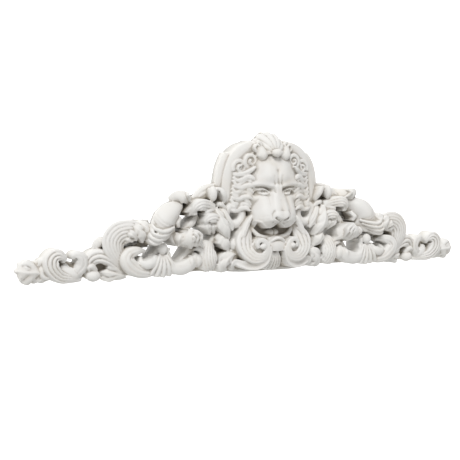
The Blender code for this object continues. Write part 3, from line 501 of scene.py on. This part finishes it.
# A rolled leaf and a small curl on one side of the crown shell
def crownSide():
    ribbon([(50, 262, 48, 7), (42, 258, 60, 9), (33, 250, 72, 11), (28, 240, 78, 12),
            (27, 231, 76, 11), (27, 224, 66, 8)], plain(0.6), 30, 14)
    ribbon(curl(37, 253, 11, 100, 1.1, 66, 4, inner=0.35, rise=4), plain(0.7), 34, 8)


# Locks that frame the face: two snails over the brow, then waved strands down to the jaw
def maneSide():
    for x, z, radius, start, p in ((73, 213, 16, 335, 60), (50, 226, 15, 285, 64)):
        ribbon(curl(x, z, radius, start, 1.35, p, 5.2, inner=0.22, rise=5), fluted(2, 0.30, 0.6),
               64, 14)
        boss(x, z, p - 6, radius, radius, 4)
    ribbon([(46, 215, 76, 2), (54, 208, 76, 4), (66, 201, 70, 5), (79, 199, 64, 5),
            (91, 201, 56, 4)], fluted(2, 0.34, 0.5), 34, 14)
    for k in range(9):
        z = 195 - 7.6 * k
        near = 49 + 1.1 * k
        sway = 2.2 * math.sin(2.3 * k)
        high = 74 + 1.5 * math.sin(4.1 * k) - k
        ribbon([(near - 4, z - 9 - sway, high, 1.5), (near + 5, z - 2, high + 1, 4.6),
                (near + 13, z - 1 + sway, high - 2, 5.6), (near + 22, z - 6, high - 6, 5.4),
                (near + 31, z - 7 - sway, 62, 4.6), (near + 39, z - 1 + sway, 59, 2.4)],
               fluted(2 + k % 2, 0.16, 0.5), 40, 16)
    for k in range(4):
        ribbon([(50 + 3 * k, 118 - 9 * k, 68, 2), (58 + 4 * k, 108 - 9 * k, 73, 4.5),
                (67 + 4 * k, 95 - 8 * k, 71, 5), (73 + 3 * k, 80 - 6 * k, 64, 3)],
               fluted(2, 0.34, 0.6), 24, 12)


def hump(x, z, cx, cz, rx, rz, power=1.0):
    return np.exp(-(((x - cx) / rx) ** 2 + ((z - cz) / rz) ** 2) ** power)


# Nearness, from 0 to 1, to a line of straight runs
def crease(x, z, points, width):
    best = np.full_like(x, 1e9)
    for (ax, az), (bx, bz) in zip(points, points[1:]):
        length = (bx - ax) ** 2 + (bz - az) ** 2
        t = np.clip(((x - ax) * (bx - ax) + (z - az) * (bz - az)) / length, 0, 1)
        best = np.minimum(best, (x - ax - t * (bx - ax)) ** 2 + (z - az - t * (bz - az)) ** 2)
    return np.exp(-best / width**2)


def smoothStep(t):
    t = np.clip(t, 0, 1)
    return t * t * (3 - 2 * t)


# The higher of two surfaces, with a fillet where they meet
def blendTop(a, b, width):
    gap = np.clip(1 - np.abs(a - b) / width, 0, 1)
    return np.maximum(a, b) + gap**2 * width / 4


# All in sheet units. Lines of points are given for one side and mirrored by the code.
lionFace = dict(
    half=66, foot=66, tall=176,                # the patch of the sheet that the face covers
    base=46, swell=33,                         # the dome that carries the features
    browRidge=[(9, 171.5), (20, 176), (35, 179), (53, 179)],
    browSwell=[(0, 192), (20, 192), (38, 189), (52, 181)],
    browShadow=[(8, 163), (13, 167.5), (22, 172), (36, 174), (52, 173.5)],
    frown=[(9, 164), (10, 172), (8, 180)],
    socket=[(17, 165), (30, 166), (44, 163)],
    upperLid=[(14, 161), (20, 166.5), (29, 170), (38, 170), (47, 165.5)],
    lowerLid=[(15, 160.5), (22, 159), (30, 159.5), (39, 162), (46, 165)],
    iris=[(21, 165), (23, 169.5), (27, 171), (31.5, 169.5), (33, 165), (31, 161), (27, 159.5)],
    eye=(29, 165), eyeHalf=13, eyeHigh=6.8, eyeSlant=9,
    noseTop=182, noseLong=70, bridgeHalf=11, padWiden=7,
    muzzle=(21, 113), muzzleHalf=33, muzzleAbove=46, muzzleBelow=28, muzzleBase=48, muzzleSwell=48,
    nostril=[(6, 108.5), (11, 110), (14.5, 113)],
    noseWing=[(17, 105), (21, 112), (21, 120), (17, 127)],
    whiskerRows=(118, 111, 104),
    lip=101, mouthHalf=45, mouthFloor=55,
    jaw=[(50, 98, 60, 3), (44, 86, 66, 4), (32, 75, 70, 5), (14, 71, 70, 5), (0, 71, 70, 5)],
)


# How far the lion's face stands from the wall at each point of the sheet
def maskHeight(x, z, lion):
    side = np.abs(x)
    dome = np.clip(1 - (side / 67) ** 2.4 - (np.abs(z - 160) / 92) ** 2.6, 0, 1) ** 0.5
    p = lion["base"] + lion["swell"] * dome
    # Forehead, its two swellings and the furrows between the brows
    p += 6 * hump(side, z, 0, 203, 38, 26)
    p += 3.0 * hump(side, z, 18, 208, 15, 19)
    p -= 1.8 * crease(side, z, [(0, 182), (0, 192), (0, 206)], 3.6)
    p -= 1.4 * crease(side, z, [(8, 184), (9.5, 196)], 2.8)
    # Brows, low and heavy at their inner ends
    p += 4 * crease(side, z, lion["browSwell"], 13)
    p += 4 * crease(side, z, lion["browRidge"], 7)
    p += 4 * hump(side, z, 12, 174, 8, 5)
    # Sockets, eyeballs, lids and drilled pupils
    p -= 12 * crease(side, z, lion["socket"], 6.5)
    p -= 9 * hump(side, z, 11, 170, 5, 5)
    eyeX, eyeZ = lion["eye"]
    slant = z - eyeZ - (side - eyeX) / lion["eyeSlant"]
    ball = 1 - ((side - eyeX) / lion["eyeHalf"]) ** 2 - (slant / lion["eyeHigh"]) ** 2
    p += 10 * np.clip(ball, 0, 1) ** 0.5
    p += 4.0 * crease(side, z, lion["upperLid"], 1.6)
    p -= 6.5 * crease(side, z, lion["browShadow"], 1.9)
    p += 2.0 * crease(side, z, lion["lowerLid"], 1.5)
    p -= 4.5 * hump(side, z, 27, 165, 2.6, 2.6)
    p -= 3.0 * crease(side, z, lion["iris"], 1.2)
    p -= 4 * crease(side, z, lion["frown"], 2.4)
    # Cheek bones over a hollow
    p += 2.5 * hump(side, z, 44, 150, 18, 14)
    p -= 4 * hump(side, z, 52, 136, 14, 14)
    # Nose: a broad bridge, rounded across, that rises to the pad
    share = np.clip((lion["noseTop"] - z) / lion["noseLong"], 0, 1)
    half = lion["bridgeHalf"] + lion["padWiden"] * share
    rise = 83 + 18.5 * smoothStep(share) ** 0.85 - 40 * smoothStep((109 - z) / 11)
    nose = rise - 6 * (side / half) ** 3 - 13 * np.clip(side / half - 0.9, 0, 3)
    nose -= 24 * smoothStep((z - 170) / 30)
    # Muzzle pads, swollen below the nose, with a shallow dip between them
    padX, padZ = lion["muzzle"]
    tall = np.where(z > padZ, lion["muzzleAbove"], lion["muzzleBelow"])
    pad = 1 - (np.abs(side - padX) / lion["muzzleHalf"]) ** 2.2 - (np.abs(z - padZ) / tall) ** 2
    muzzle = lion["muzzleBase"] + lion["muzzleSwell"] * np.clip(pad, 0, 1) ** 0.62
    p = blendTop(p, muzzle, 26)
    p = blendTop(p, nose, 26)
    # The broad pad of the nose, nostrils under its wings and the groove to the lip
    p += 2.2 * np.clip(1 - (side / 18) ** 4 - ((z - 118) / 9) ** 2, 0, 1) ** 0.5
    p -= 9 * crease(side, z, lion["nostril"], 2.0)
    p -= 2.2 * crease(side, z, lion["noseWing"], 2.2)
    p -= 6 * crease(side, z, [(0, 95), (0, 108)], 1.8)
    for row in lion["whiskerRows"]:
        p -= 0.6 * crease(side, z, [(28, row), (42, row - 3)], 1.3)
    # Open mouth below the lip, with the tongue in it
    lip = lion["lip"] - 10.5 * smoothStep(side / 18) + 14 * smoothStep((side - 23) / 24)
    p += 3.0 * np.exp(-((z - lip - 2) / 1.8) ** 2) * (side < 50)
    under = smoothStep((lip - z) / 2.0 + 0.5) * smoothStep((lion["mouthHalf"] - side) / 6)
    inside = lion["mouthFloor"] + 16 * hump(side, z, 0, 82, 16, 8, 1.6)
    inside -= 4 * crease(side, z, [(0, 76), (0, 88)], 1.6)
    p = p * (1 - under) + under * inside
    # The cheeks fall away into the mane
    return p - 30 * smoothStep((side - 49) / 9) * smoothStep((134 - z) / 14)


def face():
    def front(u, v):
        x = v * lionFace["half"]
        z = lionFace["foot"] + u * lionFace["tall"]
        return np.stack([x, z, maskHeight(x, z, lionFace)], axis=1)

    def behind(u, v):
        return footed(front(u, v), 0)

    sheet(150, 130, front, behind)
    for side in (-1, 1):
        ribbon([(side * x, z, p, w) for x, z, p, w in lionFace["jaw"]], plain(0.6), 24, 8)


# The ribbed shell and its knob at the top of the frame
def crown():
    shell((0, 240), (44, 45), 7, -4, 184, 74, 44, bulge=7, scallop=0.10, depth=2.6, along=18,
          across=70, lean=0.5)
    boss(0, 242, 80, 11, 8, 9)


# The block between the volutes, its bead, and the fluted fan that hangs below it
def buckle():
    ribbon([(0, 74, 76, 17), (0, 66, 84, 18), (0, 56, 86, 18), (0, 45, 84, 17)],
           plain(0.15), 16, 14)
    ribbon([(-19, 60, 82, 3), (-12, 68, 87, 3), (0, 72, 89, 3.5), (12, 68, 87, 3), (19, 60, 82, 3)],
           plain(0.6), 24, 8)
    shell((0, 58), (42, 55), 6, 233, 307, 74, 56, bulge=4, scallop=0.08, depth=4, hubShare=0.3,
          along=16, across=40)


# The low floor that closes the pockets between the ornaments where the casting isn't pierced
def ground():
    ribbon([(0, 12, 40, 10), (60, 16, 40, 14), (112, 24, 30, 18), (150, 20, 30, 12),
            (180, 16, 30, 9), (230, 16, 30, 9), (280, 16, 30, 8), (310, 16, 30, 8)],
           plain(0), 40, 6)
    ribbon([(0, 90, 40, 60), (40, 90, 40, 60), (62, 84, 34, 22)], plain(0), 12, 6)
    ribbon([(84, 60, 34, 18), (112, 46, 30, 12), (128, 40, 30, 10)], plain(0), 12, 6)
    ribbon([(104, 130, 36, 14), (140, 140, 36, 22), (176, 140, 34, 12)], plain(0), 12, 6)
    ribbon([(260, 100, 36, 14), (300, 90, 36, 14), (335, 70, 30, 16), (350, 40, 24, 16),
            (372, 24, 20, 14), (400, 20, 18, 12)], plain(0), 24, 6)
    ribbon([(400, 20, 18, 14), (430, 26, 20, 16), (460, 26, 16, 12), (480, 25, 14, 10)],
           plain(0), 16, 6)


# Keeps the biggest connected skin, so that no sealed pocket or loose crumb is left
def keepBiggest(obj):
    makeActive(obj)
    mesh = obj.data
    ends = np.empty(len(mesh.edges) * 2, int)
    mesh.edges.foreach_get("vertices", ends)
    ends = ends.reshape(-1, 2)
    group = np.arange(len(mesh.vertices))
    while True:
        low = np.minimum(group[ends[:, 0]], group[ends[:, 1]])
        before = group.copy()
        np.minimum.at(group, ends[:, 0], low)
        np.minimum.at(group, ends[:, 1], low)
        group = group[group]
        if (group == before).all():
            break
    names, sizes = np.unique(group, return_counts=True)
    drop = group != names[sizes.argmax()]
    bpy.ops.object.mode_set(mode="EDIT")
    bpy.ops.mesh.select_all(action="DESELECT")
    bpy.ops.object.mode_set(mode="OBJECT")
    mesh.vertices.foreach_set("select", drop)
    bpy.ops.object.mode_set(mode="EDIT")
    bpy.ops.mesh.delete(type="VERT")
    bpy.ops.object.mode_set(mode="OBJECT")


# Cuts everything behind the wall plane away and closes the back flat
def cutBack(obj):
    makeActive(obj)
    bpy.ops.object.mode_set(mode="EDIT")
    bpy.ops.mesh.select_all(action="SELECT")
    bpy.ops.mesh.bisect(plane_co=(0, 0, 0), plane_no=(0, 1, 0), use_fill=True, clear_outer=True)
    bpy.ops.mesh.select_all(action="SELECT")
    bpy.ops.mesh.quads_convert_to_tris()
    bpy.ops.mesh.normals_make_consistent(inside=False)
    bpy.ops.object.mode_set(mode="OBJECT")


# How the recesses and fine cuts are measured, as masks for the painted shade and highlights. Sizes
# are in metres.
paintedShadeMeasure = dict(
    cell=0.003, reach=6,  # the height map, and the cells round a point that its mean takes in
    deepest=0.03,         # this far below the mean counts as fully recessed
    rounds=8,             # passes that even the surface out
    sharpest=0.0008,      # this far off the evened surface counts as a full cut or ridge
)


# How far each point lies below the mean height of the carving round it, kept as the mask for the
# painted shade in the recesses
def markRecesses(obj, cell, reach, deepest):
    mesh = obj.data
    flat = np.empty(len(mesh.vertices) * 3)
    mesh.vertices.foreach_get("co", flat)
    co = flat.reshape(-1, 3)
    ix = ((co[:, 0] - co[:, 0].min()) / cell).astype(int) + 2 * reach
    iz = ((co[:, 2] - co[:, 2].min()) / cell).astype(int) + 2 * reach
    top = np.zeros((ix.max() + 2 * reach + 1, iz.max() + 2 * reach + 1))
    np.maximum.at(top, (ix, iz), -co[:, 1])
    for axis in (0, 1, 0, 1):
        top = sum(np.roll(top, step, axis) for step in range(-reach, reach + 1)) / (2 * reach + 1)
    layer = mesh.attributes.new("recess", "FLOAT", "POINT")
    sunk = np.clip((top[ix, iz] + co[:, 1]) / deepest, 0, 1)
    layer.data.foreach_set("value", sunk.astype(np.float32))


# How hollow or proud each point is against the surface round it, kept as a mask too: furrows get
# painted shade and ridges a painted highlight
def markGrooves(obj, rounds, sharpest):
    mesh = obj.data
    co = np.empty(len(mesh.vertices) * 3)
    mesh.vertices.foreach_get("co", co)
    normal = np.empty(len(mesh.vertices) * 3, np.float32)
    mesh.vertex_normals.foreach_get("vector", normal)
    ends = np.empty(len(mesh.edges) * 2, int)
    mesh.edges.foreach_get("vertices", ends)
    co, normal, ends = co.reshape(-1, 3), normal.reshape(-1, 3), ends.reshape(-1, 2)
    here, there = np.concatenate([ends, ends[:, ::-1]]).T
    count = np.maximum(np.bincount(here, minlength=len(co)), 1)
    even = co.copy()
    for step in range(rounds):
        even = np.stack([np.bincount(here, even[there, k], len(co)) / count for k in range(3)],
                        axis=1)
    hollow = ((even - co) * normal).sum(axis=1) / sharpest
    layer = mesh.attributes.new("hollow", "FLOAT", "POINT")
    layer.data.foreach_set("value", np.clip(hollow, -1, 1).astype(np.float32))


def makeCasting():
    for build in (endGroup, curledLeafGroup, greatLeaf, lowerScrolls, sheathGroup, leafCluster,
                  footLeaves, openingWalls, volute, frameSide, crownSide, maneSide, ground):
        build()
    print("one side carved:", len(carvings), "forms")
    side = joinAll(carvings, "pedimentSide")
    applyModifier(side, "MIRROR", use_axis=(True, False, False), use_mirror_merge=False)
    carvings.clear()
    for build in (face, crown, buckle):
        build()
    body = joinAll([side] + carvings, "pedimentCasting")
    applyModifier(body, "REMESH", mode="VOXEL", voxel_size=casting["grain"])
    keepBiggest(body)
    print("fused:", len(body.data.polygons), "faces")
    applyModifier(body, "SMOOTH", factor=0.5, iterations=casting["soften"])
    applyModifier(body, "DECIMATE", ratio=casting["faceCount"] / (2 * len(body.data.polygons)),
                  use_collapse_triangulate=True)
    cutBack(body)
    markRecesses(body, paintedShadeMeasure["cell"], paintedShadeMeasure["reach"], paintedShadeMeasure["deepest"])
    markGrooves(body, paintedShadeMeasure["rounds"], paintedShadeMeasure["sharpest"])
    makeActive(body)
    bpy.ops.object.shade_smooth_by_angle(angle=math.radians(casting["smoothDeg"]))
    print("casting:", len(body.data.polygons), "faces")
    return body


pedimentCasting = makeCasting()
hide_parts("pediment")
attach(pedimentCasting, "root")


# Linear colour from an sRGB hex value
def hexColour(code):
    parts = [int(code[i:i + 2], 16) / 255 for i in (0, 2, 4)]
    return [c / 12.92 if c <= 0.04045 else ((c + 0.055) / 1.055) ** 2.4 for c in parts] + [1.0]


# Adds a node with its settings, and links what is given for its sockets
def addNode(tree, kind, links=None, **settings):
    node = tree.nodes.new(kind)
    for key, value in settings.items():
        setattr(node, key, value)
    for socket, value in (links or {}).items():
        if isinstance(value, bpy.types.NodeSocket):
            tree.links.new(value, node.inputs[socket])
        else:
            node.inputs[socket].default_value = value
    return node


resinFinish = dict(
    colour="DFDDDA",       # off white of a mineral filled resin
    warm="DCD6CD",         # the faint cream where it was handled
    shade="C3BCB0",        # painted shade in the recesses
    deep="564F47",         # the unlit walls of the openings
    furrow="9C958A",       # painted shade in the finest cuts
    ridge="E6E5E2",        # painted highlight on the edges
    cloudMm=60, warmFrom=0.42, warmTo=0.78,
    recessShadeFrom=0.04, recessShadeTo=0.40, deepFrom=0.22, deepTo=0.80,
    cutFrom=0.12, cutTo=1.0, cutMost=0.70,
    proudFrom=-0.10, proudTo=-0.80, proudMost=0.6,
    grainMm=1.2,           # stone powder is finer, drawn this coarse so that it shows
    bumpMm=0.4, bump=0.35, roughness=0.62, specular=0.3, ior=1.5,
)


# Cast resin filled with stone powder, left matt: chalky, no gloss, with painted shade in the recesses
# and cuts and painted highlights on the edges
def castResinStone(finish):
    material = bpy.data.materials.new("castResinStone")
    material.use_nodes = True
    tree = material.node_tree
    shader = tree.nodes["Principled BSDF"]
    place = addNode(tree, "ShaderNodeTexCoord").outputs["Object"]
    clouds = addNode(tree, "ShaderNodeTexNoise", {
        "Vector": place, "Scale": 1000 / finish["cloudMm"], "Detail": 4.0, "Roughness": 0.55})
    grain = addNode(tree, "ShaderNodeTexNoise", {
        "Vector": place, "Scale": 1000 / finish["grainMm"], "Detail": 3.0})
    recess = addNode(tree, "ShaderNodeAttribute", attribute_name="recess").outputs["Fac"]
    hollow = addNode(tree, "ShaderNodeAttribute", attribute_name="hollow").outputs["Fac"]
    # One over another: each shows more as its measure goes from one limit to the other
    tint = hexColour(finish["colour"])
    # The warm layer is the resin's own uneven tone; the recess layers paint shade into the recesses
    # and the walls of the openings, and the hollow layers paint shade into the cuts and a highlight
    # onto the ridges
    for measure, name, most, curve, over in (
            (clouds.outputs["Fac"], "warm", 1.0, "LINEAR", "warm"),
            (recess, "recessShade", 1.0, "SMOOTHSTEP", "shade"),
            (recess, "deep", 1.0, "SMOOTHSTEP", "deep"),
            (hollow, "cut", finish["cutMost"], "LINEAR", "furrow"),
            (hollow, "proud", finish["proudMost"], "LINEAR", "ridge")):
        amount = addNode(tree, "ShaderNodeMapRange", {
            "Value": measure, "From Min": finish[name + "From"], "From Max": finish[name + "To"],
            "To Max": most}, interpolation_type=curve)
        mixed = addNode(tree, "ShaderNodeMix", {
            0: amount.outputs["Result"], 6: tint, 7: hexColour(finish[over])}, data_type="RGBA")
        tint = mixed.outputs[2]
    tree.links.new(tint, shader.inputs["Base Color"])
    bump = addNode(tree, "ShaderNodeBump", {
        "Strength": finish["bump"], "Distance": finish["bumpMm"] / 1000,
        "Height": grain.outputs["Fac"]})
    tree.links.new(bump.outputs["Normal"], shader.inputs["Normal"])
    shader.inputs["Roughness"].default_value = finish["roughness"]
    shader.inputs["Metallic"].default_value = 0.0
    shader.inputs["IOR"].default_value = finish["ior"]
    shader.inputs["Specular IOR Level"].default_value = finish["specular"]
    return material


pedimentCasting.data.materials.clear()
pedimentCasting.data.materials.append(castResinStone(resinFinish))
print("resin finish made")

studio = dict(
    size=14.0,
    floor=dict(place=(0, 0, -2.3), turn=(0, 0, 0), paint="C4C4C2", glow=0.0),
    backdrop=dict(place=(0, 2.6, 0), turn=(90, 0, 0), paint="F4F4F3", glow=0.60),
    world=0.57, key=1.85, keyTurn=(46, 0, -32), keySoft=22,
)


# Plain pale floor well below the hanging casting, and a white backdrop that glows a little
def makeSet(plan):
    for name in ("floor", "backdrop"):
        part = plan[name]
        deselectAll()
        bpy.ops.mesh.primitive_plane_add(size=plan["size"], location=part["place"],
                                         rotation=[math.radians(t) for t in part["turn"]])
        plane = bpy.context.object
        plane.name = name
        material = bpy.data.materials.new(name + "MattPaint")
        material.use_nodes = True
        shader = material.node_tree.nodes["Principled BSDF"]
        shader.inputs["Base Color"].default_value = hexColour(part["paint"])
        shader.inputs["Roughness"].default_value = 0.9
        shader.inputs["Emission Color"].default_value = (1, 1, 1, 1)
        shader.inputs["Emission Strength"].default_value = part["glow"]
        plane.data.materials.append(material)


def makeLights(plan):
    world = bpy.data.worlds.new("studioWorld")
    bpy.context.scene.world = world
    world.use_nodes = True
    sky = world.node_tree.nodes["Background"]
    sky.inputs["Color"].default_value = (1, 1, 1, 1)
    sky.inputs["Strength"].default_value = plan["world"]
    deselectAll()
    bpy.ops.object.light_add(type="SUN", rotation=[math.radians(t) for t in plan["keyTurn"]])
    key = bpy.context.object
    key.name = "keyLight"
    key.data.energy = plan["key"]
    key.data.angle = math.radians(plan["keySoft"])


# The photo's camera, fitted to mirrored pairs of ornaments
view = dict(azimuth=-30.0, elevation=4.0, distance=1.947, focalPixels=950.0, imagePixels=460.0,
            sensorMm=36, aim=(-0.0626, 0.010, -0.0352))


def makeCamera(plan):
    turn, rise = math.radians(plan["azimuth"]), math.radians(plan["elevation"])
    away = Vector((math.sin(turn) * math.cos(rise), -math.cos(turn) * math.cos(rise),
                   math.sin(rise)))
    deselectAll()
    bpy.ops.object.camera_add(location=Vector(plan["aim"]) + plan["distance"] * away,
                              rotation=(-away).to_track_quat("-Z", "Y").to_euler())
    camera = bpy.context.object
    camera.data.sensor_width = plan["sensorMm"]
    camera.data.lens = plan["focalPixels"] / plan["imagePixels"] * plan["sensorMm"]
    bpy.context.scene.camera = camera


makeSet(studio)
makeLights(studio)
makeCamera(view)
bpy.context.scene.view_settings.view_transform = "Standard"
print("studio made")
